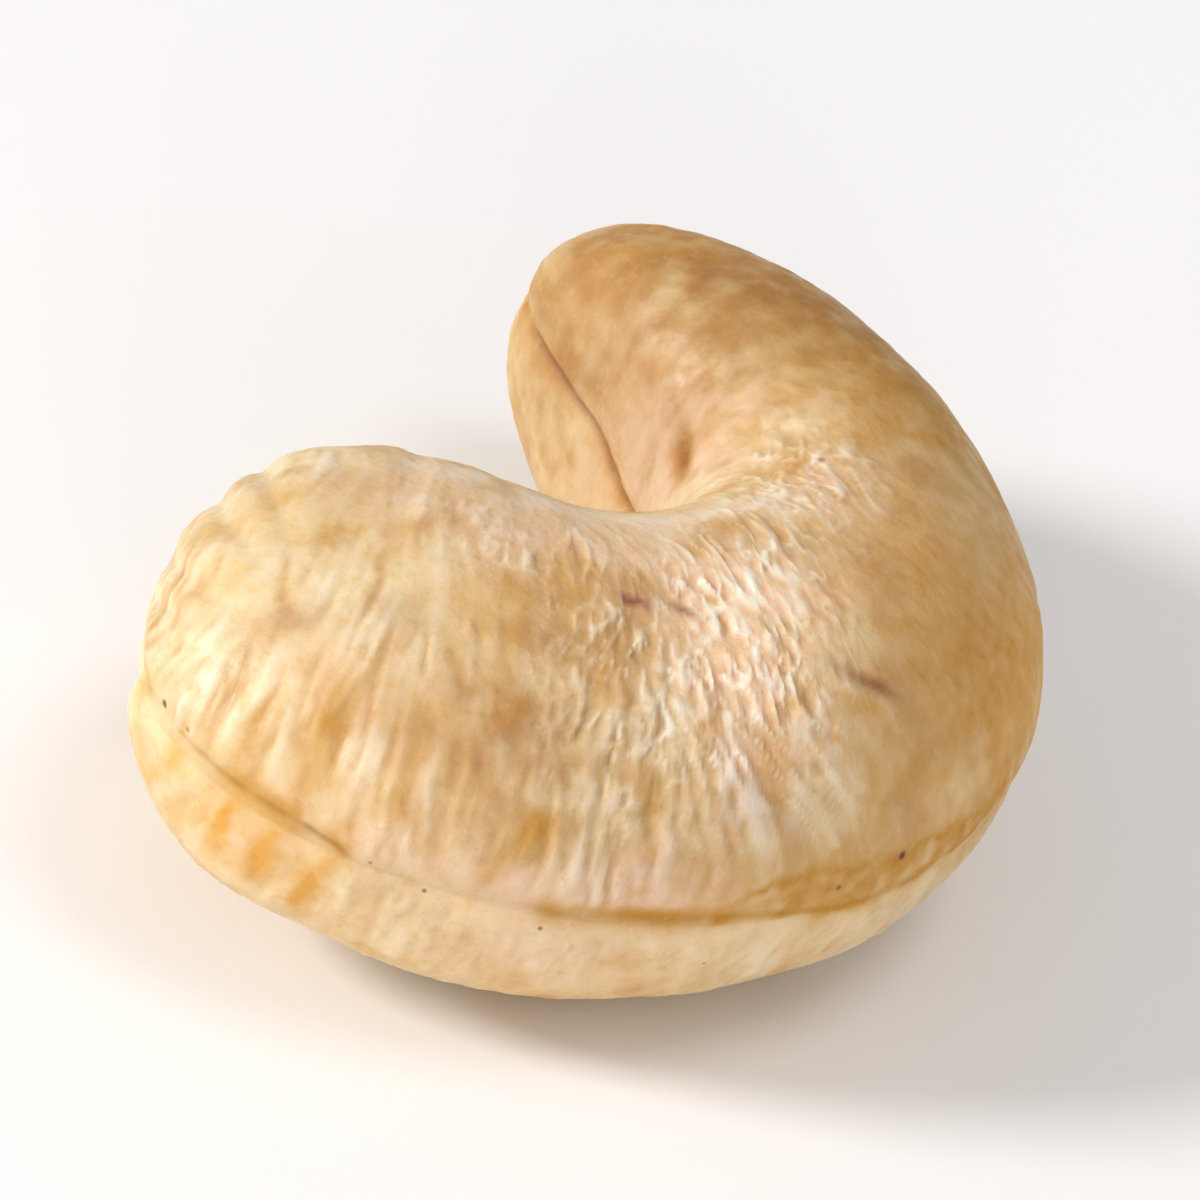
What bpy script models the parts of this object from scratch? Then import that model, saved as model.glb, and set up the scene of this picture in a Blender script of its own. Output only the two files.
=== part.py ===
"""A whole shelled cashew kernel, lying on its side.

The kernel is one closed body. A sphere's meridians and parallels are carried
along a curved spine: the parallels become cross-sections, the meridians run
from the tip of one lobe to the tip of the other. The two seed halves meet in
the plane of the curve, where a shallow seam runs round the outer edge and on
through the crook. The underside is trimmed by the resting plane, which leaves
two small flat spots.

Metres, +Z up. Origin: centre of the bounding box, on the resting plane.
Length runs along Y, the crook opens to -X, the fat lobe is at -Y.
"""

import math

import bmesh
import bpy
import numpy as np
from mathutils import Matrix, Vector

MM = 0.001

# mesh density
AROUND = 52          # points round a cross-section
ALONG = 54           # cross-sections from tip to tip

# spine: a flat curve, turning most at the crook; t runs from -1 (fat lobe) to 1
SPINE_LENGTH = 31.90 * MM
BEND_EVEN = 0.51     # turn per unit t, everywhere (radians)
BEND_SLOPE = -0.025
BEND_EXTRA = 2.107   # added turn per unit t at the crook
BEND_AT = 0.067
BEND_WIDTH = 0.481

# half-widths in the plane of the curve, as value, t, t^2 and t^3 terms
OUTER = (5.62 * MM, -0.403, 0.137, 0.071)
INNER = (4.79 * MM, -0.459, 0.264, -0.026)
# half-thickness of the upper and of the lower seed half
UPPER = (4.84 * MM, -0.006, 0.034, 0.0)
LOWER = (5.64 * MM, 0.087, 0.036, 0.0)
CROOK_WIDTH = 0.28   # extent of the pinched region at the crook, in t
CROOK_IN = 0.05      # the inner edge stands back there
THIN_AT = -0.35      # the upper half slopes down into the crook, most on
THIN_WIDTH = 0.25    # the side of the fat lobe
THIN = 0.22
BELLY_WIDTH = 0.50
BELLY_FLAT = 0.22    # the lower half is flatter under the bend
EDGE_RISE = -0.057   # thickness change from inner to outer edge

# roundness of the two tips: (1 - |t|^power)^root
TIP_FAT = (3.02, 0.393)
TIP_THIN = (2.39, 0.404)

# superellipse powers of the section: outer side, inner side, underside
SQUARE_OUTER = 2.175
SQUARE_INNER = 2.327
SQUARE_UNDER = 2.581

# the plane between the halves lifts a little toward the tips
LIFT_2 = 0.40 * MM
LIFT_3 = -0.28 * MM

# seam groove
SEAM_DEPTH = 0.16 * MM
SEAM_HALF_WIDTH = 0.34 * MM
SEAM_CROWD = 0.36    # draws the meridians together at the seam

# broad, shallow swells of the dried surface
SWELL = 0.10 * MM

# pose
REST_TILT = (2.40, 0.38)   # degrees about X and about Y, before the turn
YAW = 98.0                 # degrees
FLAT_DEPTH = 0.13 * MM     # how far the resting plane trims the underside


def spine(t):
    """Points, heading and arc step of the spine at the values t."""
    fine = np.linspace(-1.0, 1.0, 1601)
    turn = BEND_EXTRA * np.exp(-(((fine - BEND_AT) / BEND_WIDTH) ** 2)) + BEND_EVEN + BEND_SLOPE * fine
    step = np.diff(fine)
    heading = np.concatenate([[0.0], np.cumsum((turn[1:] + turn[:-1]) / 2 * step)])
    heading -= np.interp(BEND_AT, fine, heading)
    dx, dy = np.cos(heading), np.sin(heading)
    half = SPINE_LENGTH / 2
    x = half * np.concatenate([[0.0], np.cumsum((dx[1:] + dx[:-1]) / 2 * step)])
    y = half * np.concatenate([[0.0], np.cumsum((dy[1:] + dy[:-1]) / 2 * step)])
    x -= x.mean()
    y -= y.mean()
    return np.interp(t, fine, x), np.interp(t, fine, y), np.interp(t, fine, heading)


def cubic(terms, t):
    return terms[0] * (1 + terms[1] * t + terms[2] * t**2 + terms[3] * t**3)


def smooth(x):
    x = np.clip(x, 0.0, 1.0)
    return x * x * (3 - 2 * x)


def kernel_points(t, psi):
    """Surface points for spine values t and section angles psi (same shape).

    psi is 0 on the outer seam, pi on the inner seam, and its sine is positive
    on the upper half.
    """
    cx, cy, heading = spine(t)
    power = np.where(t < 0, TIP_FAT[0], TIP_THIN[0])
    root = np.where(t < 0, TIP_FAT[1], TIP_THIN[1])
    taper = np.maximum(1 - np.abs(t) ** power, 0.0) ** root
    crook = np.exp(-(((t - BEND_AT) / CROOK_WIDTH) ** 2))
    thin = np.exp(-(((t - THIN_AT) / THIN_WIDTH) ** 2))
    belly = np.exp(-(((t - BEND_AT) / BELLY_WIDTH) ** 2))
    outer = cubic(OUTER, t) * taper
    inner = cubic(INNER, t) * (1 - CROOK_IN * crook) * taper
    upper = cubic(UPPER, t) * taper
    lower = cubic(LOWER, t) * (1 - BELLY_FLAT * belly) * taper

    c, s = np.cos(psi), np.sin(psi)
    square = SQUARE_INNER + (SQUARE_OUTER - SQUARE_INNER) * (0.5 + 0.5 * np.tanh(3 * c))
    square = square + (SQUARE_UNDER - square) * smooth(-2 * s)
    cc = np.sign(c) * np.abs(c) ** (2 / square)
    ss = np.sign(s) * np.abs(s) ** (2 / square)
    upper = upper * (1 - THIN * thin * np.clip(-c, 0, 1) ** 1.5)
    w = np.where(c > 0, outer, inner) * cc
    z = np.where(s > 0, upper, lower) * ss * (1 + EDGE_RISE * c)

    # swells and the seam work along the section's own direction
    size = np.hypot(w, z)
    grow = SWELL * taper * (
        0.6 * np.sin(9.0 * t + 1.3 * np.sin(psi) + 0.4)
        + 0.4 * np.sin(5.0 * t - 2.0 * psi + 1.1)
    )
    off = np.abs(z)
    groove = SEAM_DEPTH * np.exp(-((off / SEAM_HALF_WIDTH) ** 2)) * smooth(size / (2.0 * MM))
    scale = 1 + (grow - groove) / np.maximum(size, 0.5 * MM)
    w, z = w * scale, z * scale

    x = cx + np.sin(heading) * w
    y = cy - np.cos(heading) * w
    return np.stack([x, y, z + LIFT_2 * t**2 + LIFT_3 * t**3], -1)


def collection(name):
    made = bpy.data.collections.new(name)
    bpy.context.scene.collection.children.link(made)
    return made


def material(name, colour, roughness):
    made = bpy.data.materials.new(name)
    made.use_nodes = True
    shader = made.node_tree.nodes["Principled BSDF"]
    shader.inputs["Base Color"].default_value = (*colour, 1.0)
    shader.inputs["Roughness"].default_value = roughness
    shader.inputs["Metallic"].default_value = 0.0
    made.diffuse_color = (*colour, 1.0)
    return made


def add_object(name, bm, where):
    mesh = bpy.data.meshes.new(name)
    bm.to_mesh(mesh)
    bm.free()
    made = bpy.data.objects.new(name, mesh)
    where.objects.link(made)
    return made


def build():
    for old in list(bpy.data.objects):
        bpy.data.objects.remove(old, do_unlink=True)

    parts = collection("cashew")
    cutters = collection("cutters")

    # the kernel: a sphere's parallels and meridians, laid along the spine
    bm = bmesh.new()
    bmesh.ops.create_uvsphere(bm, u_segments=AROUND, v_segments=ALONG, radius=1.0)
    ball = np.array([v.co[:] for v in bm.verts])
    t = np.clip(ball[:, 2], -1.0, 1.0)
    psi = np.arctan2(ball[:, 1], ball[:, 0])
    psi = psi - SEAM_CROWD * np.sin(2 * psi)
    points = kernel_points(t, psi)

    tilt = Matrix.Rotation(math.radians(REST_TILT[0]), 3, "X") @ Matrix.Rotation(-math.radians(REST_TILT[1]), 3, "Y")
    pose = np.array(Matrix.Rotation(math.radians(YAW), 3, "Z") @ tilt)
    points = points @ pose.T
    low, high = points.min(axis=0), points.max(axis=0)
    points -= np.array([(low[0] + high[0]) / 2, (low[1] + high[1]) / 2, low[2] + FLAT_DEPTH])
    for vert, point in zip(bm.verts, points):
        vert.co = Vector(point)
    bmesh.ops.recalc_face_normals(bm, faces=bm.faces)
    kernel = add_object("cashew_kernel", bm, parts)
    kernel.data.shade_smooth()
    kernel.data.materials.append(material("kernel", (0.86, 0.66, 0.40), 0.45))

    # the resting plane, as the top of a block under the kernel
    bm = bmesh.new()
    bmesh.ops.create_cube(bm, size=1.0)
    block = add_object("resting_plane", bm, cutters)
    block.data.transform(Matrix.Diagonal((60 * MM, 60 * MM, 10 * MM, 1.0)))
    block.location = (0.0, 0.0, -5 * MM)
    block.hide_render = True
    block.display_type = "WIRE"

    trim = kernel.modifiers.new("resting_spots", "BOOLEAN")
    trim.operation = "DIFFERENCE"
    trim.solver = "EXACT"
    trim.object = block


build()
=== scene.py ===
import math

import bpy
import numpy as np
from mathutils import Matrix, Vector


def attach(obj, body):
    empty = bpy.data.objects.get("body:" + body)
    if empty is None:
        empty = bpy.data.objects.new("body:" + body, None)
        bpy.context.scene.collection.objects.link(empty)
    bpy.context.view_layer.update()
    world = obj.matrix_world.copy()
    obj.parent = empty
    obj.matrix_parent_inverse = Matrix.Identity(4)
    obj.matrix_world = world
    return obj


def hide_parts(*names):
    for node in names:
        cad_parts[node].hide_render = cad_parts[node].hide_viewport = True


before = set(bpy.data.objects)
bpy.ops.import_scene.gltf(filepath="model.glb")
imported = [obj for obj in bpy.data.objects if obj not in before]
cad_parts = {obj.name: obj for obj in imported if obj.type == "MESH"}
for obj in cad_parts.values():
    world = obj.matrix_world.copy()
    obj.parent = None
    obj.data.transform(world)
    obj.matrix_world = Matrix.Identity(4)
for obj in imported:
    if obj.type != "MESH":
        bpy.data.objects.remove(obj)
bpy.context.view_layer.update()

MM = 0.001

# --------------------------------------------------------------------------
# The kernel's body, as in the CAD: cross-sections along a bent spine.
# t runs from -1 (tip of the fat lobe) to 1 (tip of the slim lobe); psi is 0 on
# the outer seam, 180 degrees on the inner seam, and between them on the upper
# half. Lengths here are in millimetres.
# --------------------------------------------------------------------------
SPINE_LENGTH = 31.90
BEND_EVEN, BEND_SLOPE, BEND_EXTRA, BEND_AT, BEND_WIDTH = 0.51, -0.025, 2.107, 0.067, 0.481
OUTER = (5.62, -0.403, 0.137, 0.071)
INNER = (4.79, -0.459, 0.264, -0.026)
UPPER = (4.84, -0.006, 0.034, 0.0)
LOWER = (5.64, 0.087, 0.036, 0.0)
CROOK_WIDTH, CROOK_IN = 0.28, 0.05
THIN_AT, THIN_WIDTH, THIN = -0.35, 0.25, 0.22
BELLY_WIDTH, BELLY_FLAT = 0.50, 0.22
EDGE_RISE = -0.057
TIP_FAT, TIP_THIN = (3.02, 0.393), (2.39, 0.404)
SQUARE_OUTER, SQUARE_INNER, SQUARE_UNDER = 2.175, 2.327, 2.581
LIFT_2, LIFT_3 = 0.40, -0.28
SWELL = 0.10
REST_TILT, YAW, FLAT_DEPTH = (2.40, 0.38), 98.0, 0.13

ROWS, COLUMNS = 430, 226

# colours of the flesh, sRGB 0 to 255; the near-white one is also painted highlight on fold crests and the crook's rim,
# and the darker straw is also painted shade in the folds' troughs
CREAM, CREAM_2 = (242, 222, 184), (234, 203, 154)
STRAW, STRAW_2 = (224, 184, 128), (206, 160, 98)
PALE, FLECK_AND_HIGHLIGHT, CREST_2 = (247, 220, 194), (255, 248, 238), (255, 242, 212)
GOLD, ORANGE, AMBER = (218, 172, 90), (212, 162, 56), (230, 180, 92)
TAN, BROWN, PIN = (194, 148, 92), (154, 84, 36), (82, 48, 20)


def smooth(x):
    x = np.clip(x, 0.0, 1.0)
    return x * x * (3 - 2 * x)


def band(x, low, high, soft):
    """1 between low and high, with soft ends."""
    return smooth((x - low) / soft + 0.5) * smooth((high - x) / soft + 0.5)


def cubic(terms, t):
    return terms[0] * (1 + terms[1] * t + terms[2] * t**2 + terms[3] * t**3)


def spine(t):
    fine = np.linspace(-1.0, 1.0, 1601)
    turn = BEND_EXTRA * np.exp(-(((fine - BEND_AT) / BEND_WIDTH) ** 2)) + BEND_EVEN + BEND_SLOPE * fine
    step = np.diff(fine)
    heading = np.concatenate([[0.0], np.cumsum((turn[1:] + turn[:-1]) / 2 * step)])
    heading -= np.interp(BEND_AT, fine, heading)
    dx, dy = np.cos(heading), np.sin(heading)
    half = SPINE_LENGTH / 2
    x = half * np.concatenate([[0.0], np.cumsum((dx[1:] + dx[:-1]) / 2 * step)])
    y = half * np.concatenate([[0.0], np.cumsum((dy[1:] + dy[:-1]) / 2 * step)])
    x -= x.mean()
    y -= y.mean()
    return np.interp(t, fine, x), np.interp(t, fine, y), np.interp(t, fine, heading)


def body(t, psi):
    """The smooth body, without its seam."""
    cx, cy, heading = spine(t)
    power = np.where(t < 0, TIP_FAT[0], TIP_THIN[0])
    root = np.where(t < 0, TIP_FAT[1], TIP_THIN[1])
    taper = np.maximum(1 - np.abs(t) ** power, 0.0) ** root
    crook = np.exp(-(((t - BEND_AT) / CROOK_WIDTH) ** 2))
    thin = np.exp(-(((t - THIN_AT) / THIN_WIDTH) ** 2))
    belly = np.exp(-(((t - BEND_AT) / BELLY_WIDTH) ** 2))
    outer = cubic(OUTER, t) * taper
    inner = cubic(INNER, t) * (1 - CROOK_IN * crook) * taper
    upper = cubic(UPPER, t) * taper
    lower = cubic(LOWER, t) * (1 - BELLY_FLAT * belly) * taper
    c, s = np.cos(psi), np.sin(psi)
    square = SQUARE_INNER + (SQUARE_OUTER - SQUARE_INNER) * (0.5 + 0.5 * np.tanh(3 * c))
    square = square + (SQUARE_UNDER - square) * smooth(-2 * s)
    cc = np.sign(c) * np.abs(c) ** (2 / square)
    ss = np.sign(s) * np.abs(s) ** (2 / square)
    upper = upper * (1 - THIN * thin * np.clip(-c, 0, 1) ** 1.5)
    w = np.where(c > 0, outer, inner) * cc
    z = np.where(s > 0, upper, lower) * ss * (1 + EDGE_RISE * c)
    size = np.hypot(w, z)
    grow = SWELL * taper * (
        0.6 * np.sin(9.0 * t + 1.3 * np.sin(psi) + 0.4) + 0.4 * np.sin(5.0 * t - 2.0 * psi + 1.1)
    )
    scale = 1 + grow / np.maximum(size, 0.5)
    w, z = w * scale, z * scale
    return np.stack([cx + np.sin(heading) * w, cy - np.cos(heading) * w, z + LIFT_2 * t**2 + LIFT_3 * t**3], -1)


# --------------------------------------------------------------------------
# Noise, worked out the same way each run
# --------------------------------------------------------------------------
_rng = np.random.RandomState(11)
PERM = np.concatenate([_rng.permutation(256)] * 2)
GRAD = _rng.normal(size=(256, 3))
GRAD /= np.linalg.norm(GRAD, axis=1)[:, None]


def noise(x, y, z=0.0, seed=0):
    """Gradient noise, about -1 to 1, with features one unit across."""
    x, y, z = np.broadcast_arrays(
        np.asarray(x, float) + 17.3 * seed, np.asarray(y, float) + 5.7 * seed, np.asarray(z, float) + 0.5
    )
    xi, yi, zi = np.floor(x).astype(int), np.floor(y).astype(int), np.floor(z).astype(int)
    fx, fy, fz = x - xi, y - yi, z - zi
    ux, uy, uz = (f * f * f * (f * (f * 6 - 15) + 10) for f in (fx, fy, fz))
    total = 0.0
    for a in (0, 1):
        for b in (0, 1):
            for c in (0, 1):
                h = PERM[(PERM[(PERM[(xi + a) & 255] + yi + b) & 255] + zi + c) & 255]
                g = GRAD[h]
                d = g[..., 0] * (fx - a) + g[..., 1] * (fy - b) + g[..., 2] * (fz - c)
                w = (ux if a else 1 - ux) * (uy if b else 1 - uy) * (uz if c else 1 - uz)
                total = total + d * w
    return total * 1.7


# --------------------------------------------------------------------------
# The grid: rows evenly along the surface, columns evenly round it and closer
# at the seams
# --------------------------------------------------------------------------
def make_grid():
    t0 = -np.cos(np.linspace(0, math.pi, 901))
    p0 = np.linspace(0, 2 * math.pi, 48, endpoint=False)
    coarse = body(t0[:, None], p0[None, :])
    step = np.linalg.norm(np.diff(coarse, axis=0), axis=-1).mean(axis=1)
    along = np.concatenate([[0.0], np.cumsum(step)])
    middle = (t0[1:] + t0[:-1]) / 2
    close = np.concatenate([[0.0], np.cumsum(step * (1 + 0.7 * band(middle, -0.75, 0.32, 0.3)))])
    rows = np.interp(np.linspace(0, close[-1], ROWS + 2)[1:-1], close, t0)
    p1 = np.linspace(0, 2 * math.pi, 2881)
    ring = body(np.full(2881, -0.35), p1)
    length = np.linalg.norm(np.diff(ring, axis=0), axis=-1)
    mid = (p1[1:] + p1[:-1]) / 2
    arc = np.concatenate([[0.0], np.cumsum(length)])
    off_outer = np.minimum(arc[1:], arc[-1] - arc[1:])
    off_inner = np.abs(arc[1:] - arc[np.argmin(np.abs(p1 - math.pi))])
    dense = 1 + 1.6 * np.exp(-((off_outer / 0.7) ** 2)) + 1.2 * np.exp(-((off_inner / 0.5) ** 2)) + 0.6 * (mid < math.pi)
    total = np.concatenate([[0.0], np.cumsum(length * dense)])
    columns = np.interp(np.linspace(0, total[-1], COLUMNS + 1)[:-1], total, p1)
    return rows, columns, t0, along


rows, columns, _t0, _along = make_grid()
T, PSI = np.meshgrid(rows, columns, indexing="ij")
BASE = body(T, PSI)
U = np.interp(T, _t0, _along)                      # mm along the surface, from the fat lobe's tip
_fwd = np.linalg.norm(np.roll(BASE, -1, 1) - BASE, axis=-1)
_arc = np.concatenate([np.zeros((ROWS, 1)), np.cumsum(_fwd, axis=1)], axis=1)
_round = _arc[:, -1:]
_arc = _arc[:, :-1]
_inner = np.array([np.interp(math.pi, columns, row) for row in _arc])[:, None]
UP = PSI < math.pi
V = np.where(UP, _arc, _arc - _round)              # mm round the section from the outer seam, + above
V_OUT = np.abs(V)                                  # distance to the outer seam
V_IN = np.abs(_arc - _inner)                       # distance to the inner seam
DEG = np.degrees(PSI)
DEG = np.where(DEG > 180, DEG - 360, DEG)

_du = np.gradient(BASE, axis=0)
_dv = (np.roll(BASE, -1, 1) - np.roll(BASE, 1, 1)) / 2
NORMAL = np.cross(_dv, _du)
NORMAL /= np.linalg.norm(NORMAL, axis=-1, keepdims=True)
if (NORMAL[:, :, 2] * np.sin(PSI)).mean() < 0:
    NORMAL = -NORMAL
X, Y, Z = BASE[..., 0], BASE[..., 1], BASE[..., 2]


def place(t, psi):
    """Point of the grid nearest to spine value t and section angle psi (degrees)."""
    i = int(np.argmin(np.abs(rows - t)))
    j = int(np.argmin(np.abs(((np.degrees(columns) - psi + 180) % 360) - 180)))
    return i, j


def blob(t, psi, long, wide, turn=0.0, points=BASE):
    """A soft patch at t, psi: long along the spine, wide round the section, in mm."""
    i, j = place(t, psi)
    p, n = BASE[i, j], NORMAL[i, j]
    e1 = _du[i, j] / np.linalg.norm(_du[i, j])
    e2 = np.cross(n, e1)
    if np.dot(e2, _dv[i, j]) < 0:
        e2 = -e2
    a = math.radians(turn)
    e1, e2 = e1 * math.cos(a) + e2 * math.sin(a), e2 * math.cos(a) - e1 * math.sin(a)
    d = points - p
    x, y, z = d @ e1, d @ e2, d @ n
    return np.exp(-((x / long) ** 2) - (y / wide) ** 2 - (z / max(long, wide)) ** 2)


# --------------------------------------------------------------------------
# The photograph's view of the kernel, given as three turns of the body's own
# frame; the wrinkles' direction and the camera both come from it
# --------------------------------------------------------------------------
def turn_z(a):
    return np.array([[math.cos(a), -math.sin(a), 0], [math.sin(a), math.cos(a), 0], [0, 0, 1]])


def turn_x(a):
    return np.array([[1, 0, 0], [0, math.cos(a), -math.sin(a)], [0, math.sin(a), math.cos(a)]])


LOOK = turn_z(-0.403) @ turn_x(-0.931) @ turn_z(1.41)      # rows: right, up, back


def unit(v):
    return v / np.maximum(np.linalg.norm(v, axis=-1, keepdims=True), 1e-9)


# --------------------------------------------------------------------------
# Relief
# --------------------------------------------------------------------------
ABOVE = smooth((np.sin(PSI)) * 6 + 0.5)
wander = noise(U / 3.2, V / 3.2, seed=1)

# where each kind of wrinkle shows
ribs_where = band(T, -1.2, -0.22, 0.22) * band(DEG, 4, 70, 30) + 0.55 * band(T, -1.2, -0.60, 0.2) * band(DEG, 62, 165, 40)
ribs_where += 0.45 * band(T, -0.25, 1.2, 0.2) * band(DEG, 4, 52, 24) + 0.35 * ABOVE * band(T, 0.30, 1.2, 0.2)
ribs_where = np.where(DEG < 0, 0.5 * smooth(V_OUT / 0.6), ribs_where)
crinkle_where = (
    1.0 * blob(-0.26, 60, 2.6, 3.0)
    + 0.8 * blob(-0.16, 92, 2.4, 2.0)
    + 0.5 * blob(-0.40, 80, 2.6, 1.8)
    + 0.4 * blob(-0.54, 96, 2.4, 1.6)
    + 0.5 * blob(-0.42, 45, 2.2, 2.2)
    + 0.85 * blob(0.10, 104, 1.9, 2.0)
    + 0.30 * blob(0.20, 118, 2.0, 1.4)
    + 0.45 * blob(0.45, 125, 3.0, 2.8)
    + 0.35 * blob(0.70, 120, 2.6, 2.6)
)
crinkle_where = np.clip(crinkle_where, 0, 1.1) + 0.06
smooth_patch = np.clip(blob(0.04, 62, 2.7, 3.0) + 0.8 * blob(0.14, 42, 3.0, 3.0), 0, 1)
crinkle_where *= 1 - 0.85 * smooth_patch
crinkle_where = np.where(DEG < 0, 0.25 + 0.35 * np.clip(noise(X / 5, Y / 5, Z / 5, seed=9) + 0.3, 0, 1), crinkle_where)
near_seam = smooth(V_OUT / 0.9)
near_inner = smooth(V_IN / 0.8)

# wrinkles run down the section to the outer seam; on the upper half's bend they
# turn aside
down = unit(-(_dv - NORMAL * (_dv * NORMAL).sum(-1, keepdims=True)))
down = np.where((V > 0)[..., None], down, -down)
aside = 0.42 * LOOK[0] - 0.91 * LOOK[1]
facing = np.maximum(NORMAL @ LOOK[2], 0.3)
aside = unit(aside - LOOK[2] * ((NORMAL @ aside) / facing)[..., None])
turned = (band(T, -0.30, 0.42, 0.18) * band(DEG, 20, 135, 24))[..., None]
swirl = (0.35 * noise(X / 3.0, Y / 3.0, Z / 3.0, seed=46) + 0.40 * noise(X / 1.1, Y / 1.1, Z / 1.1, seed=48))[..., None]
fold_way = unit(down * (1 - turned) + aside * turned + swirl * unit(_du))


def drawn(width, length, seed, way=fold_way):
    """Noise drawn out into folds this wide and long, in mm."""
    count = max(2, int(math.ceil(length / width / 1.4)))
    total = 0.0
    for k in np.linspace(-1, 1, 2 * count + 1):
        p = (BASE + way * (k * length / 2)) / width
        total = total + math.exp(-1.4 * k * k) * noise(p[..., 0], p[..., 1], p[..., 2], seed)
    return total / (3 * total.std())


# the finest folds fade where the grid is too open to carry them
sharp = smooth((0.113 - np.linalg.norm(_du, axis=-1)) / 0.023)

# ribs: long, and in uneven groups
ribs = 0.52 * drawn(0.52, 3.2, 3) + 0.60 * drawn(0.27, 1.9, 4) + 0.25 * sharp * drawn(0.17, 1.2, 55)
ribs += 0.30 * drawn(1.1, 4.0, 40)
ribs = ribs * (0.75 + 0.6 * noise(X / 1.9, Y / 1.9, Z / 1.9, seed=41))

# crinkles: short, uneven folds
broken = smooth(0.42 + 1.7 * noise(X / 0.7, Y / 0.7, Z / 0.7, seed=49))
long_crests = np.exp(-((drawn(0.46, 1.3, 47) / (0.36 - 0.20 * sharp)) ** 2))
short_crests = np.exp(-((drawn(0.32, 0.7, 50) / (0.40 - 0.25 * sharp)) ** 2))
flecks = smooth(3.0 * drawn(0.20, 0.45, 54) - 0.35) * sharp
curled = 1 - 0.85 * smooth((T - 0.17) / 0.20)
crests = curled * (1.1 * long_crests * broken + 0.9 * short_crests * (1 - broken) + 0.45 * flecks)
folds = 0.40 * np.tanh(2.5 * drawn(0.32, 0.9, 5)) + 0.35 * sharp * drawn(0.15, 0.4, 6) + crests - 0.48 * curled
folds += (1 - curled) * (1.2 * noise(X / 0.45, Y / 0.45, Z / 0.45, seed=51) + 0.6 * sharp * noise(X / 0.28, Y / 0.28, Z / 0.28, seed=58))
folds = folds * np.clip(0.80 + 1.0 * noise(X / 1.1, Y / 1.1, Z / 1.1, seed=42), 0.20, 1.6)

pebble = noise(X / 0.9, Y / 0.9, Z / 0.9, seed=7) * 0.6 + noise(X / 0.42, Y / 0.42, Z / 0.42, seed=8) * 0.4
lumps = noise(X / 3.4, Y / 3.4, Z / 3.4, seed=12)
dents = noise(X / 1.7, Y / 1.7, Z / 1.7, seed=43)

fine = 0.074 * ribs * ribs_where * smooth(V_OUT / 0.55) + 0.060 * folds * crinkle_where * near_seam * near_inner
relief = fine + 0.012 * pebble * (1 - 0.5 * smooth_patch) + 0.075 * lumps + 0.025 * dents * (1 - 0.6 * smooth_patch)

# the fat lobe's end is drawn up in rounded pleats, which cut its outline into
# scallops: angle round the lobe in degrees as seen in the photograph, depth in
# mm, width in degrees
seen_x, seen_y = BASE @ LOOK[0], BASE @ LOOK[1]
phi = np.degrees(np.arctan2(seen_y + 2.83, seen_x + 5.21)) + 1.2 * wander
outline = smooth((0.80 - NORMAL @ LOOK[2]) / 0.55) * band(T, -1.2, -0.50, 0.12)
for angle, cut, wide in ((151, 0.14, 2.6), (141, 0.15, 2.4), (125, 0.21, 3.0), (114, 0.18, 3.0), (81, 0.11, 4.5), (97, 0.05, 4.0)):
    relief -= cut * np.exp(-np.abs((phi - angle) / wide) ** 1.5) * outline
relief += 0.05 * outline * band(phi, 78, 168, 20)
pleat = np.abs(np.sin(6 * PSI + 0.8 * noise(2 * np.cos(PSI), 2 * np.sin(PSI), seed=44) + 0.35)) ** 0.9 - 0.68
uneven_tip = np.clip(0.55 + 1.1 * noise(2.2 * np.cos(PSI), 2.2 * np.sin(PSI), U / 3.0, seed=53), 0.05, 1.3)
relief += 0.07 * pleat * band(T, -0.999, -0.87, 0.10) * (0.25 + 0.75 * ABOVE) * smooth(V_OUT / 0.8)
relief += 0.065 * pleat * uneven_tip * band(T, 0.88, 0.998, 0.10)
pleat_rim = np.sqrt(np.sin(math.pi * (U + 0.9 * wander) / 1.9 + 0.6) ** 2 + 0.04) - 0.7
uneven_rim = np.clip(0.55 + 1.2 * noise(U / 1.6, DEG / 40, seed=56), 0.05, 1.2)
relief += 0.050 * pleat_rim * uneven_rim * band(T, -0.60, 0.30, 0.10) * band(DEG, 95, 150, 30)

# the lower half bulges out under the fat lobe
relief += 0.36 * blob(-0.80, -32, 2.4, 1.9)

# at the fat tip the lower half stops short of the upper one
relief -= 0.24 * band(T, -1.2, -0.972, 0.016) * band(DEG, -170, -4, 8)

# outer seam: a shallow trough, a fine crack in it, and lips
seam_shift = 0.10 * noise(U / 1.5, 0.3, seed=13) + 0.05 * noise(U / 0.45, 0.7, seed=14)
seam_shift += 0.20 * band(T, -0.55, -0.20, 0.12) + 0.30 * band(T, -0.95, -0.68, 0.12)
from_seam = V - seam_shift
depth = 0.30 + 0.65 * band(T, -1.2, -0.67, 0.08) + 0.45 * band(T, -0.05, 1.2, 0.2) + 0.3 * noise(U / 1.6, 0.1, seed=15)
relief -= 0.050 * (0.6 + depth) * np.exp(-((from_seam / 0.42) ** 2))
relief -= 0.042 * depth * np.exp(-((from_seam / 0.11) ** 2))
relief -= 0.075 * np.exp(-((from_seam / 0.30) ** 2)) * band(T, -1.2, -0.955, 0.03)
relief += 0.030 * np.exp(-(((from_seam - 0.55) / 0.28) ** 2)) * (1 + 0.8 * noise(U / 0.8, 2.0, seed=16))
relief += 0.028 * np.exp(-(((from_seam + 0.55) / 0.28) ** 2)) * (1 + 0.9 * noise(U / 0.7, 3.0, seed=17))

# inner seam: a finer crack in a wide, soft fold
in_shift = 0.06 * noise(U / 1.1, 0.9, seed=18)
in_shift += np.interp(T, (0.20, 0.42, 0.57, 0.60, 0.64, 0.67, 0.73), (0.0, 0.50, 0.50, 0.42, 0.30, 0.12, 0.0))
from_in = V_IN * np.where(UP, -1, 1) - in_shift
relief -= 0.11 * np.exp(-((from_in / 0.13) ** 2)) + 0.08 * np.exp(-((from_in / 0.50) ** 2))

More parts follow.
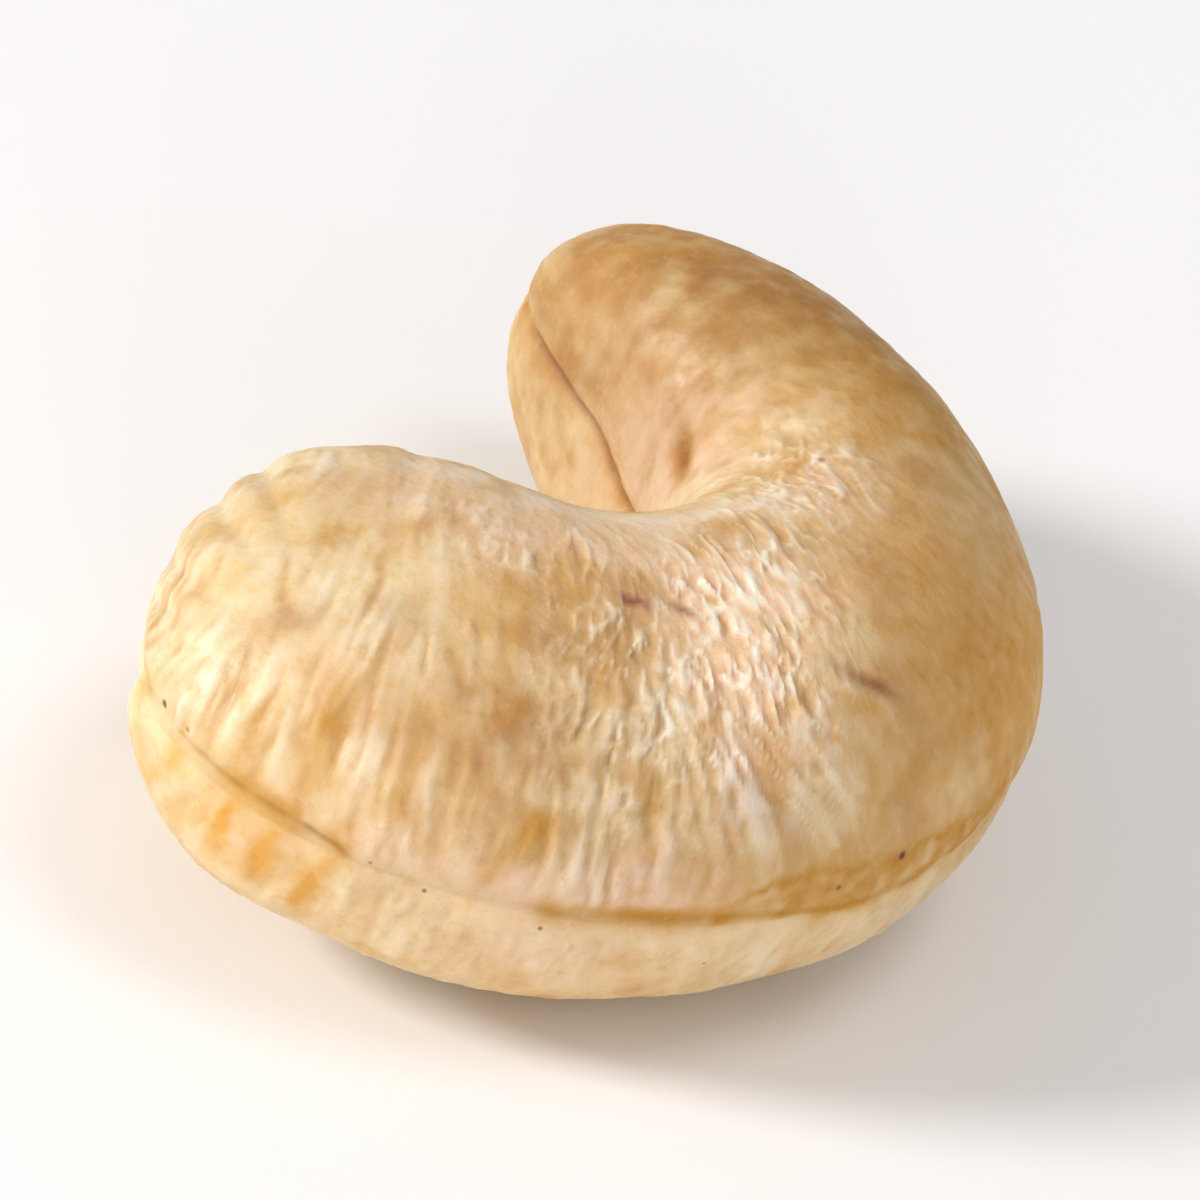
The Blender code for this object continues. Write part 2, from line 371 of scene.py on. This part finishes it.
# single marks
dimple = blob(0.446, 156.5, 0.74, 0.34, -24)
crease = blob(-0.383, 84.5, 0.38, 0.17, -12)
crease2 = blob(-0.315, 83.5, 0.36, 0.14, -34)
streak = blob(-0.12, 60, 0.85, 0.22, -41)
core = blob(-0.106, 57.5, 0.46, 0.16, -41)
relief -= 0.15 * dimple + 0.05 * crease + 0.04 * crease2 + 0.02 * streak
relief += 0.05 * blob(0.43, 147, 0.8, 0.35, -26)

SKIN = BASE + NORMAL * (relief * smooth((1 - np.abs(T)) / 0.004))[..., None]

# --------------------------------------------------------------------------
# Colour, one value a vertex
# --------------------------------------------------------------------------
blotch = noise(X / 2.6, Y / 2.6, Z / 2.6, seed=31)
small = noise(X / 0.8, Y / 0.8, Z / 0.8, seed=32)
grain = drawn(0.5, 2.0, 33)
tiny = noise(X / 0.36, Y / 0.36, Z / 0.36, seed=36)


# patches have ragged edges, so their points are moved a little, each at random
ragged = BASE + np.stack([
    0.22 * noise(X / 0.75, Y / 0.75, Z / 0.75, seed=60 + k) + 0.09 * noise(X / 0.3, Y / 0.3, Z / 0.3, seed=64 + k)
    for k in range(3)
], -1)


# the smooth side is of a more even colour
even = 1 - 0.7 * smooth_patch


def patches(listed, uneven):
    total = np.zeros_like(T)
    for t_, p_, l_, w_, k_ in listed:
        total += k_ * blob(t_, p_, l_, w_, 0.0, ragged)
    return total * (1 + 0.6 * uneven * even + 0.25 * tiny)


# yellow-gold clouds: those seen in the photograph, the rest at random; on the slim lobe they are partly painted shade.
# Each is spine value, section angle, half-length and half-width in mm, strength
light_end = np.clip(blob(-0.88, 62, 3.4, 3.4), 0, 1)
gold = 0.60 * smooth(1.7 * noise(X / 1.2, Y / 1.2, Z / 1.2, seed=45) + 0.5 * small + 0.2 * tiny - 0.22)
gold *= (1 - 0.8 * light_end) * even
gold += 0.20 * smooth(blotch * 0.9 + 0.1) + patches((
    (-0.485, 23.0, 0.68, 0.62, 1.05),
    (-0.518, 8.0, 0.35, 0.40, 0.40),
    (-0.812, 23.5, 0.32, 0.80, 1.00),
    (-0.741, 38.5, 0.32, 0.70, 0.70),
    (-0.683, 12.0, 0.22, 0.70, 0.65),
    (-0.640, 24.0, 0.25, 0.90, 0.70),
    (-0.801, 86.5, 0.48, 0.40, 0.75),
    (-0.728, 81.5, 0.28, 0.28, 0.90),
    (-0.626, 60.0, 0.50, 0.45, 0.90),
    (-0.540, 52.5, 0.50, 0.50, 1.10),
    (-0.899, 65.0, 0.45, 0.40, 0.65),
    (-0.137, 33.0, 0.35, 0.75, 1.00),
    (-0.140, 22.0, 0.70, 0.45, 0.60),
    (-0.154, 111.0, 0.60, 0.40, 0.50),
    (0.05, 60, 3.0, 3.0, 0.75),
    (0.02, 32, 2.0, 1.5, 0.85),
    (0.14, 28, 2.2, 1.8, 1.10),
    # clouds at spine value 0.3 and over lie on the slim lobe and are partly painted shade
    (0.30, 20, 2.4, 1.8, 0.90),
    (0.185, 80, 0.60, 0.60, 0.45),
    (0.45, 74, 2.4, 1.8, 0.90),
    (0.62, 82, 2.4, 1.6, 0.95),
    (0.35, 50, 2.2, 1.8, 0.80),
    (0.75, 60, 2.4, 1.8, 0.60),
    (0.88, 105, 1.6, 2.0, 0.85),
), small)
amber = patches((
    (-0.885, -5, 0.32, 0.60, 0.60),
    (-0.806, -7.5, 0.29, 0.85, 1.20),
    (-0.748, -7.5, 0.27, 1.10, 1.45),
    (-0.692, -11.5, 0.34, 0.95, 1.35),
    (-0.76, -13, 1.60, 1.20, 0.25),
    (-0.63, -24, 0.40, 0.8, 0.45),
    (-0.90, -24, 0.7, 0.8, 0.45),
    (-0.48, -24, 0.4, 0.9, 0.35),
    (0.30, -30, 0.9, 0.9, 0.45),
    (0.55, -20, 0.5, 0.8, 0.45),
    (-0.10, -60, 0.9, 1.1, 0.40),
    (-0.55, -110, 0.9, 0.7, 0.40),
    (0.45, -120, 0.6, 0.9, 0.45),
), grain)
orange = np.zeros_like(T)
# the stain along the seam, strongest under the middle
line = np.exp(-(((from_seam - 0.04 + 0.06 * tiny) / 0.30) ** 2))
orange += line * (
    0.10
    + 0.90 * band(T, -0.47, -0.27, 0.05)
    + 0.60 * band(T, -0.86, -0.66, 0.06)
    + 0.35 * band(T, 0.02, 1.0, 0.10)
) * (0.85 + 0.6 * noise(U / 0.5, 4.0, seed=34))
# towards the bend it parts into two lines with stained skin between them
line_top = np.interp(T, (-0.30, -0.25, -0.20, -0.10, 0.0, 0.06), (0.30, 1.00, 1.20, 1.15, 1.00, 0.90))
line_low = np.interp(T, (-0.30, -0.23, -0.16, -0.085, -0.047, 0.01, 0.06), (0.10, 0.05, -0.05, 0.02, 0.35, 0.75, 0.85))
edge = V + 0.16 * small + 0.09 * tiny
along = band(T, -0.28, 0.05, 0.05)
orange += along * smooth((edge - line_low) / 0.25 + 0.5) * smooth((line_top - edge) / 0.25 + 0.5) * np.clip(0.50 + 0.90 * small + 0.80 * tiny, 0.08, 1)
orange += along * 0.50 * np.exp(-(((edge - line_top) / 0.13) ** 2)) * (1 + 0.7 * noise(U / 0.6, 1.0, seed=38))
orange += along * 0.75 * np.exp(-(((edge - line_low) / 0.15) ** 2)) * (1 + 0.5 * noise(U / 0.7, 1.0, seed=39))
gold += 0.5 * band(T, -0.33, 0.10, 0.12) * band(from_seam, -0.1, 1.7, 0.8)
# painted shade: a soft golden band either side of the inner seam's fold
gold += 0.65 * np.exp(-((from_in / 0.40) ** 2)) * (1 + 0.5 * small)
orange += 1.30 * dimple + 0.55 * np.exp(-((from_in / 0.18) ** 2)) * band(T, 0.48, 0.66, 0.06)

# brownish, thinner skin; the patches on the slim lobe are partly painted shade
tan = patches((
    (-0.819, 59.0, 0.50, 0.45, 0.95),
    (-0.674, 86.5, 0.30, 0.20, 0.30),
    (-0.646, 95.0, 0.40, 0.35, 0.40),
    (-0.688, 69.0, 0.80, 0.55, 0.60),
    (-0.611, 51.0, 0.60, 1.00, 0.65),
    (-0.496, 72.5, 0.50, 0.45, 1.00),
    (-0.50, 48, 1.4, 1.6, 0.90),
    (-0.375, 90, 0.6, 0.5, 0.55),
    (-0.104, 86, 0.22, 0.18, 0.60),
    (-0.003, 82, 0.9, 0.9, 0.35),
    (0.05, 60, 2.6, 2.6, 0.30),
    (0.20, 80, 2.0, 1.6, 0.25),
    (0.25, 35, 2.2, 1.8, 0.20),
    # the patches from here on lie on the slim lobe and are partly painted shade
    (0.60, 80, 2.5, 2.5, 0.60),
    (0.70, 125, 2.4, 2.6, 0.55),
    (0.48, 148, 2.4, 2.2, 0.28),
    (0.85, 180, 2.0, 2.6, 0.50),
    (0.92, 110, 1.6, 2.4, 0.60),
    (0.70, 95, 0.9, 1.0, 0.40),
), small) + 0.70 * streak + 0.55 * blob(-0.375, 86, 0.75, 0.45, -14, ragged)

# drier, pinkish skin on the folds; over the crinkled zone it is also painted sheen, paler than the skin alone
pale = patches((
    (-0.27, 60, 1.8, 2.4, 1.2),
    (-0.16, 88, 1.6, 1.6, 1.0),
    (-0.36, 92, 2.2, 1.4, 0.7),
    (0.42, 145, 1.6, 1.4, 0.8),
    (0.56, 168, 1.9, 1.7, 1.1),
    (0.62, 195, 2.0, 1.6, 0.5),
    (-0.74, 48, 1.4, 1.6, 0.45),
    (-0.45, -14, 2.6, 1.2, 0.50),
    (-0.40, 4, 3.4, 0.8, 0.60),
    (-0.37, 13, 2.2, 0.8, 0.90),
    (0.10, 103, 1.3, 1.3, 0.90),
    (-0.60, 7, 1.8, 0.7, 0.70),
    (-0.55, 95, 2.2, 1.4, 0.70),
    (-0.72, 100, 1.6, 1.2, 0.45),
), small)
# painted highlight: a pale line along the crook's rim
pale += 0.55 * band(T, -0.70, 0.10, 0.3) * np.exp(-(((DEG - 113) / 8) ** 2))
height = np.tanh(fine / 0.034)
dark = 1.0 * crease + 0.80 * crease2 + 0.34 * streak + 0.50 * core
dark += 0.60 * np.exp(-((from_in / 0.14) ** 2)) * smooth((0.97 - np.abs(T)) / 0.05)
dark += 0.20 * np.exp(-((from_seam / 0.08) ** 2)) * depth * (0.5 + 1.4 * noise(U / 0.35, 5.0, seed=35))
dark += 0.32 * np.exp(-((from_seam / 0.07) ** 2)) * band(T, -0.86, -0.66, 0.06) * (0.8 + 0.8 * noise(U / 0.5, 6.0, seed=57))
dark += 0.55 * dimple


def linear(r, g, b):
    """An sRGB colour, 0 to 255, as linear light."""
    c = np.array([r, g, b]) / 255
    return np.where(c <= 0.04045, c / 12.92, ((c + 0.055) / 1.055) ** 2.4)


TINT = np.broadcast_to(linear(*CREAM), T.shape + (3,)).copy()


def tint(amount, colour):
    k = np.clip(amount, 0, 1)[..., None]
    TINT[...] = TINT * (1 - k) + linear(*colour) * k


tint(smooth(blotch * 0.8 + 0.5) * 0.8, CREAM_2)
tint(smooth(small * 1.1 + 0.15) * 0.40 * (1 - 0.6 * np.clip(pale, 0, 1)) * even, STRAW)
tint(0.22 * smooth_patch, STRAW)
mottle = noise(X / 1.5, Y / 1.5, Z / 1.5, seed=52)
tint(smooth(1.7 * mottle + 0.3 * small) * 0.36 * np.where(DEG < 0, 0.5, 1.0) * (1 - 0.6 * light_end) * (1 - 0.65 * smooth_patch) * (1 - 0.45 * smooth((T - 0.25) / 0.3)), TAN)
tint(smooth(1.3 * tiny + 0.2 * small) * 0.22 * smooth_patch, GOLD)
tint(light_end * 0.42, CREST_2)
slim_inner = np.clip(blob(0.54, 132, 3.4, 3.2), 0, 1)
tint(smooth(1.8 * tiny + 0.4 * small) * 0.40 * slim_inner, CREAM)
tint(smooth(-1.8 * tiny + 0.4 * noise(X / 0.5, Y / 0.5, Z / 0.5, seed=59)) * 0.26 * slim_inner, STRAW_2)
tint(pale * 0.95, PALE)
under = np.where(DEG < 0, 0.55, 1.0)
creased = np.clip(crinkle_where, 0, 1)
# painted shade in the folds' troughs and painted highlight on their crests
tint(np.clip(-height - 0.08, 0, 1) * (0.72 - 0.34 * creased) * under, STRAW_2)
tint(np.clip(height - 0.10, 0, 1) * (0.60 - 0.15 * creased) * under * (1 - 0.5 * smooth((T - 0.25) / 0.2)), FLECK_AND_HIGHLIGHT)
tint(np.clip(crests * crinkle_where * near_seam - 0.22, 0, 1) * 0.80 * under, FLECK_AND_HIGHLIGHT)
# painted highlight: a near-white line along the crook's rim
tint(0.45 * (1 + 0.6 * small) * band(T, -0.80, 0.02, 0.2) * np.exp(-(((DEG - 116) / 7) ** 2)), FLECK_AND_HIGHLIGHT)
tint(gold * 0.70, GOLD)
tint(amber * 0.78, AMBER)
tint(tan * 0.60, TAN)
tint(orange * 0.88, ORANGE)
tint(dark * 0.85, BROWN)
TINT **= np.where(DEG < 0, 1.11, 1.16)[..., None]
# painted light: the skin is darkened all over, a little less on the lower half, and least where light falls on the pale
# folds, the bend's outer edge and the smooth side
shade = np.where(DEG < 0, 0.91, 0.86)
painted_light = np.clip(pale * blob(-0.22, 74, 4.0, 4.0) + 0.9 * blob(0.12, 24, 3.4, 2.4) + 0.35 * smooth_patch, 0, 1)
TINT *= (shade + (1 - shade) * painted_light)[..., None]
# painted shade: the slim lobe is darkened and made more golden towards its tip
TINT *= 1 - smooth((T - 0.30) / 0.25)[..., None] * (0.13, 0.16, 0.23)

# --------------------------------------------------------------------------
# Into the CAD's frame
# --------------------------------------------------------------------------
POSE = (
    Matrix.Rotation(math.radians(YAW), 3, "Z")
    @ Matrix.Rotation(math.radians(REST_TILT[0]), 3, "X")
    @ Matrix.Rotation(-math.radians(REST_TILT[1]), 3, "Y")
)
POSE = np.array(POSE)
_posed = BASE.reshape(-1, 3) @ POSE.T
SHIFT = np.array(
    [
        (_posed[:, 0].min() + _posed[:, 0].max()) / 2,
        (_posed[:, 1].min() + _posed[:, 1].max()) / 2,
        _posed[:, 2].min() + FLAT_DEPTH,
    ]
)


def to_world(points):
    """Millimetres in the body's frame to metres in the CAD's."""
    return (points @ POSE.T - SHIFT) * MM


def build_kernel():
    tip_a = body(np.array([-1.0]), np.array([0.0]))
    tip_b = body(np.array([1.0]), np.array([0.0]))
    points = to_world(np.concatenate([SKIN.reshape(-1, 3), tip_a, tip_b]))
    points[:, 2] = np.maximum(points[:, 2], 0.0)
    n = ROWS * COLUMNS
    i = np.arange(ROWS - 1)[:, None]
    j = np.arange(COLUMNS)[None, :]
    k = (j + 1) % COLUMNS
    quads = np.stack(np.broadcast_arrays(i * COLUMNS + j, i * COLUMNS + k, (i + 1) * COLUMNS + k, (i + 1) * COLUMNS + j), -1)
    quads = quads.reshape(-1, 4)
    j = np.arange(COLUMNS)
    k = (j + 1) % COLUMNS
    last = (ROWS - 1) * COLUMNS
    fans = np.concatenate([np.stack([np.full(COLUMNS, n), k, j], -1), np.stack([np.full(COLUMNS, n + 1), last + j, last + k], -1)])
    faces = quads.tolist() + fans.tolist()
    mesh = bpy.data.meshes.new("kernel_skin")
    mesh.from_pydata(points.tolist(), [], faces)
    mesh.update()
    mesh.shade_smooth()

    def with_tips(values):
        """A value for each vertex, with the mean of the end rows at the tips."""
        flat = values.reshape(n, -1)
        return np.concatenate([flat, values[0].reshape(COLUMNS, -1).mean(0)[None], values[-1].reshape(COLUMNS, -1).mean(0)[None]])

    colour = with_tips(TINT)
    colour = np.concatenate([colour, np.ones((len(colour), 1))], axis=1)
    mesh.attributes.new("tint", "FLOAT_COLOR", "POINT").data.foreach_set("color", colour.reshape(-1).astype(np.float32))
    folded = with_tips(np.clip(crinkle_where * near_seam * near_inner * (0.3 + 0.7 * curled), 0, 1))
    mesh.attributes.new("folded", "FLOAT", "POINT").data.foreach_set("value", folded.reshape(-1).astype(np.float32))
    volume = 0.0
    p = points
    tri = quads[:, [0, 1, 2]]
    volume += np.einsum("ij,ij->i", p[tri[:, 0]], np.cross(p[tri[:, 1]], p[tri[:, 2]])).sum()
    if volume < 0:
        mesh.flip_normals()
    kernel = bpy.data.objects.new("kernel_skin", mesh)
    bpy.context.scene.collection.objects.link(kernel)
    return kernel


kernel = build_kernel()


# --------------------------------------------------------------------------
# Materials
# --------------------------------------------------------------------------
def srgb(r, g, b):
    def one(c):
        c /= 255
        return c / 12.92 if c <= 0.04045 else ((c + 0.055) / 1.055) ** 2.4

    return (one(r), one(g), one(b), 1.0)


class Nodes:
    """Short calls for building a node tree."""

    def __init__(self, material):
        material.use_nodes = True
        self.tree = material.node_tree
        self.new = self.tree.nodes.new
        self.shader = self.tree.nodes["Principled BSDF"]

    def link(self, a, b):
        self.tree.links.new(a, b)

    def attribute(self, name, output="Fac"):
        node = self.new("ShaderNodeAttribute")
        node.attribute_name = name
        return node.outputs[output]

    def math(self, kind, a, b=None, clamp=False):
        node = self.new("ShaderNodeMath")
        node.operation = kind
        node.use_clamp = clamp
        for socket, value in zip(node.inputs, (a, b)):
            if value is None:
                continue
            if isinstance(value, (int, float)):
                socket.default_value = value
            else:
                self.link(value, socket)
        return node.outputs[0]

    def mix(self, factor, a, b, kind="MIX"):
        node = self.new("ShaderNodeMix")
        node.data_type = "RGBA"
        node.blend_type = kind
        for socket, value in ((node.inputs[0], factor), (node.inputs[6], a), (node.inputs[7], b)):
            if isinstance(value, (int, float, tuple)):
                socket.default_value = value
            else:
                self.link(value, socket)
        return node.outputs[2]

    def noise(self, scale, detail=3.0, rough=0.55, where=None):
        node = self.new("ShaderNodeTexNoise")
        node.inputs["Scale"].default_value = scale
        node.inputs["Detail"].default_value = detail
        node.inputs["Roughness"].default_value = rough
        self.link(where or self.place, node.inputs["Vector"])
        return node.outputs["Fac"]

    def ramp(self, value, low, high, to_low=0.0, to_high=1.0):
        node = self.new("ShaderNodeMapRange")
        node.interpolation_type = "SMOOTHSTEP"
        self.link(value, node.inputs["Value"])
        for name, number in (("From Min", low), ("From Max", high), ("To Min", to_low), ("To Max", to_high)):
            node.inputs[name].default_value = number
        return node.outputs["Result"]


def kernel_material():
    made = bpy.data.materials.new("kernel_flesh")
    n = Nodes(made)
    n.place = n.new("ShaderNodeTexCoord").outputs["Object"]
    colour = n.attribute("tint", "Color")
    folded = n.attribute("folded")

    # a leathery grain
    grain = n.noise(2600, 3.0, 0.6)
    colour = n.mix(n.ramp(grain, 0.50, 0.72, 0.0, 0.42), colour, (0.90, 0.76, 0.42, 1.0), "MULTIPLY")
    colour = n.mix(n.ramp(grain, 0.46, 0.30, 0.0, 0.06), colour, srgb(*FLECK_AND_HIGHLIGHT))

    # pin dots of old skin
    spots = None
    for t, psi, size, strength in DOTS:
        i, j = place(t, psi)
        gap = n.new("ShaderNodeVectorMath")
        gap.operation = "DISTANCE"
        n.link(n.place, gap.inputs[0])
        gap.inputs[1].default_value = to_world(SKIN[i, j][None])[0]
        one = n.ramp(gap.outputs["Value"], size * 1.4 * MM, size * 0.45 * MM, 0.0, strength)
        spots = one if spots is None else n.math("MAXIMUM", spots, one)
    colour = n.mix(spots, colour, srgb(*PIN))
    n.link(colour, n.shader.inputs["Base Color"])

    gloss = n.math("MULTIPLY", folded, 0.18)
    n.link(n.math("SUBTRACT", n.ramp(grain, 0.3, 0.7, 0.44, 0.58), gloss), n.shader.inputs["Roughness"])
    n.shader.inputs["Specular IOR Level"].default_value = 0.6
    n.shader.inputs["Subsurface Weight"].default_value = 0.75
    n.shader.inputs["Subsurface Radius"].default_value = (1.0, 0.45, 0.20)
    n.shader.inputs["Subsurface Scale"].default_value = 0.4 * MM

    bump = n.new("ShaderNodeBump")
    bump.inputs["Strength"].default_value = 1.0
    bump.inputs["Distance"].default_value = 0.036 * MM
    n.link(grain, bump.inputs["Height"])
    n.link(bump.outputs["Normal"], n.shader.inputs["Normal"])
    return made


# spine value, section angle, radius in mm, strength
DOTS = (
    (-0.922, 7.5, 0.10, 0.85),
    (-0.885, 9.0, 0.07, 0.45),
    (-0.640, 1.0, 0.05, 0.45),
    (-0.575, -1.5, 0.06, 0.60),
    (-0.452, -3.0, 0.06, 0.65),
    (-0.277, -14.0, 0.05, 0.50),
    (-0.110, 11.5, 0.11, 0.90),
    (-0.175, 7.5, 0.07, 0.60),
    (0.197, 107.0, 0.09, 0.50),
    (0.35, 6.0, 0.07, 0.60),
    (0.62, -6.0, 0.08, 0.60),
    (-0.75, 160.0, 0.06, 0.60),
)

kernel.data.materials.append(kernel_material())
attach(kernel, "root")
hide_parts("cashew_kernel")

# --------------------------------------------------------------------------
# Stage
# --------------------------------------------------------------------------
floor_mesh = bpy.data.meshes.new("floor")
half = 4.0
floor_mesh.from_pydata([(-half, -half, 0), (half, -half, 0), (half, half, 0), (-half, half, 0)], [], [(0, 1, 2, 3)])
floor = bpy.data.objects.new("floor", floor_mesh)
floor.location = (0, 0, -0.00002)
bpy.context.scene.collection.objects.link(floor)
floor_material = bpy.data.materials.new("floor")
floor_material.use_nodes = True
floor_shader = floor_material.node_tree.nodes["Principled BSDF"]
floor_shader.inputs["Base Color"].default_value = srgb(248, 248, 250)
floor_shader.inputs["Roughness"].default_value = 0.7
floor_shader.inputs["Specular IOR Level"].default_value = 0.2
floor_mesh.materials.append(floor_material)


# --------------------------------------------------------------------------
# Camera
# --------------------------------------------------------------------------
right, up, back = LOOK @ POSE.T
FRAME_WIDTH = 27.43 * MM
LENS = 420.0
centre = to_world(np.zeros((1, 3)))[0]
aim = centre + (-0.104 * MM) * right + (-0.136 * MM) * up
eye = aim + back * (LENS / 36.0 * FRAME_WIDTH)

camera_data = bpy.data.cameras.new("camera")
camera_data.lens = LENS
camera_data.sensor_width = 36.0
camera_data.clip_start, camera_data.clip_end = 0.01, 20.0
camera = bpy.data.objects.new("camera", camera_data)
bpy.context.scene.collection.objects.link(camera)
matrix = Matrix.Identity(4)
for k in range(3):
    matrix[k][0], matrix[k][1], matrix[k][2], matrix[k][3] = right[k], up[k], back[k], eye[k]
camera.matrix_world = matrix
bpy.context.scene.camera = camera


def area(name, direction, distance, size, watts, colour):
    data = bpy.data.lights.new(name, "AREA")
    data.shape = "DISK"
    data.size = size
    data.energy = watts
    data.color = colour
    light = bpy.data.objects.new(name, data)
    d = Vector(direction).normalized()
    light.location = Vector(centre) + d * distance
    light.rotation_mode = "QUATERNION"
    light.rotation_quaternion = d.to_track_quat("Z", "Y")
    bpy.context.scene.collection.objects.link(light)
    return light


def seen(x, y, z):
    """A direction given as right, up and back in the picture."""
    d = x * right + y * up + z * back
    return tuple(d)


area("key", seen(-0.72, 0.44, 0.54), 0.60, 0.15, 2.35, (1.0, 0.99, 0.975))
area("fill", seen(0.05, -0.40, 0.91), 0.80, 0.40, 1.25, (1.0, 0.975, 0.95))
area("top", seen(0.52, 0.67, 0.53), 0.80, 0.36, 0.85, (1.0, 0.985, 0.97))

world = bpy.data.worlds.new("world")
bpy.context.scene.world = world
world.use_nodes = True
world.node_tree.nodes["Background"].inputs["Color"].default_value = (1.0, 0.97, 0.94, 1.0)
world.node_tree.nodes["Background"].inputs["Strength"].default_value = 0.41

bpy.context.scene.view_settings.view_transform = "Standard"
bpy.context.scene.view_settings.look = "Medium High Contrast"
